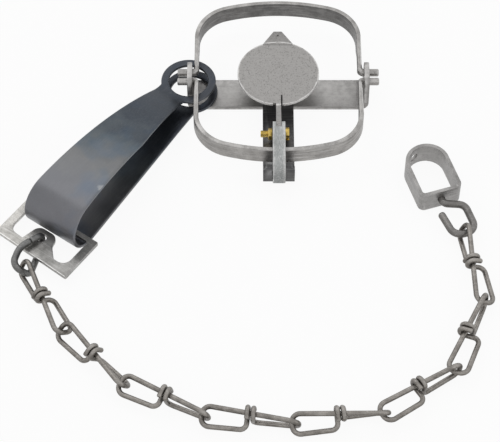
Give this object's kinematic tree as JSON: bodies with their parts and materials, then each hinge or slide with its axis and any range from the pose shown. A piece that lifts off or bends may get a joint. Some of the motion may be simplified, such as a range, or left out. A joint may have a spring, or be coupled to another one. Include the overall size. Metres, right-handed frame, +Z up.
{
  "type": "foothold trap",
  "caption": "Long-spring foothold trap, set, with flat open jaws, a round pan, a dog over the near jaw, one bowed leaf spring and a knotted-wire chain with a box swivel.",
  "frame": {"origin": "under the middle of the base bar, on its underside", "axes": "+X along the base bar away from the spring, +Y away from the dog, +Z up"},
  "size_m": [0.3132, 0.3276, 0.0381],
  "materials": {
    "base_frame": "bare grey steel with fine scratches",
    "cross_bar": "dark grey mill-scale steel",
    "rivet": "bare steel",
    "pan_post": "bare steel",
    "brass": "bright brass",
    "pan": "bare grey sheet steel",
    "dog": "galvanised steel strip",
    "jaw": "bare grey steel",
    "spring_lower_leaf": "dark blued spring steel",
    "spring_upper_leaf": "blued spring steel",
    "chain_plate": "galvanised sheet steel",
    "connecting_link": "dark steel wire",
    "chain_link": "oiled grey-brown steel wire",
    "swivel_hook": "dark steel wire",
    "swivel_box": "bare steel strap"
  },
  "bodies": {
    "base_body": {"base_frame": "base_frame", "cross_bar": "cross_bar", "cross_rivets": "rivet", "pan_post": "pan_post", "post_rivet": "rivet", "pan_bolt": "brass", "pan_nut": "brass"},
    "pan_body": {"pan": "pan"},
    "dog_body": {"dog": "dog"},
    "near_jaw_body": {"near_jaw": "jaw"},
    "far_jaw_body": {"far_jaw": "jaw"},
    "spring_lower_body": {"spring_lower_leaf": "spring_lower_leaf"},
    "spring_upper_body": {"spring_upper_leaf": "spring_upper_leaf"},
    "chain_plate_body": {"chain_plate": "chain_plate"},
    "connecting_link_body": {"connecting_link": "connecting_link"},
    "chain_link_1_body": {"chain_link_1": "chain_link"},
    "chain_link_2_body": {"chain_link_2": "chain_link"},
    "chain_link_3_body": {"chain_link_3": "chain_link"},
    "chain_link_4_body": {"chain_link_4": "chain_link"},
    "chain_link_5_body": {"chain_link_5": "chain_link"},
    "chain_link_6_body": {"chain_link_6": "chain_link"},
    "chain_link_7_body": {"chain_link_7": "chain_link"},
    "chain_link_8_body": {"chain_link_8": "chain_link"},
    "swivel_hook_body": {"swivel_hook": "swivel_hook"},
    "swivel_box_body": {"swivel_box": "swivel_box"}
  },
  "joints": [
    {"name": "near_jaw_close", "type": "hinge", "parent": "base_body", "child": "near_jaw_body", "pos_m": [0, -0.0038, 0.02], "axis": [-1, 0, 0], "range_deg": [0, 87]},
    {"name": "far_jaw_close", "type": "hinge", "parent": "base_body", "child": "far_jaw_body", "pos_m": [0, 0.0038, 0.02], "axis": [1, 0, 0], "range_deg": [0, 87]},
    {"name": "dog_throw", "type": "hinge", "parent": "base_body", "child": "dog_body", "pos_m": [0, -0.0731, 0.0171], "axis": [1, 0, 0], "range_deg": [0, 174.5]},
    {"name": "pan_tilt", "type": "hinge", "parent": "base_body", "child": "pan_body", "pos_m": [0, -0.0424, 0.013], "axis": [-1, 0, 0], "range_deg": [0, 7]},
    {"name": "spring_swivel", "type": "hinge", "parent": "base_body", "child": "spring_lower_body", "pos_m": [-0.0587, 0, 0.0046], "axis": [0, 0, 1], "range_deg": [-75, 4]},
    {"name": "spring_open", "type": "hinge", "parent": "spring_lower_body", "child": "spring_upper_body", "pos_m": [-0.14446, -0.12023, 0.01868], "axis": [0.8141, -0.5807, 0], "range_deg": [0, 4]},
    {"name": "chain_plate_lift", "type": "hinge", "parent": "spring_lower_body", "child": "chain_plate_body", "pos_m": [-0.13425, -0.10592, 0.01868], "axis": [-0.8141, 0.5807, 0], "range_deg": [0, 12]},
    {"name": "connecting_link_turn", "type": "hinge", "parent": "chain_plate_body", "child": "connecting_link_body", "pos_m": [-0.15062, -0.12111, 0.00617], "axis": [0, 0, 1], "range_deg": [-12, 6]},
    {"name": "chain_joint_1", "type": "hinge", "parent": "connecting_link_body", "child": "chain_link_1_body", "pos_m": [-0.16004, -0.14408, 0.0081], "axis": [0, 0, 1], "range_deg": [-20, 4]},
    {"name": "chain_joint_2", "type": "hinge", "parent": "chain_link_1_body", "child": "chain_link_2_body", "pos_m": [-0.13304, -0.19084, 0.0081], "axis": [0, 0, -1], "range_deg": [-4, 20]},
    {"name": "chain_joint_3", "type": "hinge", "parent": "chain_link_2_body", "child": "chain_link_3_body", "pos_m": [-0.09485, -0.22903, 0.0081], "axis": [0, 0, 1], "range_deg": [-20, 4]},
    {"name": "chain_joint_4", "type": "hinge", "parent": "chain_link_3_body", "child": "chain_link_4_body", "pos_m": [-0.04552, -0.25099, 0.0081], "axis": [0, 0, -1], "range_deg": [-4, 20]},
    {"name": "chain_joint_5", "type": "hinge", "parent": "chain_link_4_body", "child": "chain_link_5_body", "pos_m": [0.00818, -0.25663, 0.0081], "axis": [0, 0, 1], "range_deg": [-20, 4]},
    {"name": "chain_joint_6", "type": "hinge", "parent": "chain_link_5_body", "child": "chain_link_6_body", "pos_m": [0.06166, -0.24912, 0.0081], "axis": [0, 0, -1], "range_deg": [-4, 20]},
    {"name": "chain_joint_7", "type": "hinge", "parent": "chain_link_6_body", "child": "chain_link_7_body", "pos_m": [0.10642, -0.21892, 0.0081], "axis": [0, 0, 1], "range_deg": [-20, 4]},
    {"name": "chain_joint_8", "type": "hinge", "parent": "chain_link_7_body", "child": "chain_link_8_body", "pos_m": [0.12665, -0.16885, 0.0081], "axis": [0, 0, -1], "range_deg": [-4, 20]},
    {"name": "hook_turn", "type": "hinge", "parent": "chain_link_8_body", "child": "swivel_hook_body", "pos_m": [0.11728, -0.11567, 0.0081], "axis": [0, 0, 1], "range_deg": [-20, 5]},
    {"name": "box_swivel", "type": "hinge", "parent": "swivel_hook_body", "child": "swivel_box_body", "pos_m": [0.10411, -0.09135, 0.0081], "axis": [0.309, -0.9511, 0], "continuous": true}
  ],
  "couplings": [
    {"joint": "far_jaw_close", "follows": "near_jaw_close", "ratio": 1},
    {"joint": "dog_throw", "follows": "near_jaw_close", "ratio": 2},
    {"joint": "spring_open", "follows": "near_jaw_close", "ratio": 0.0459}
  ]
}
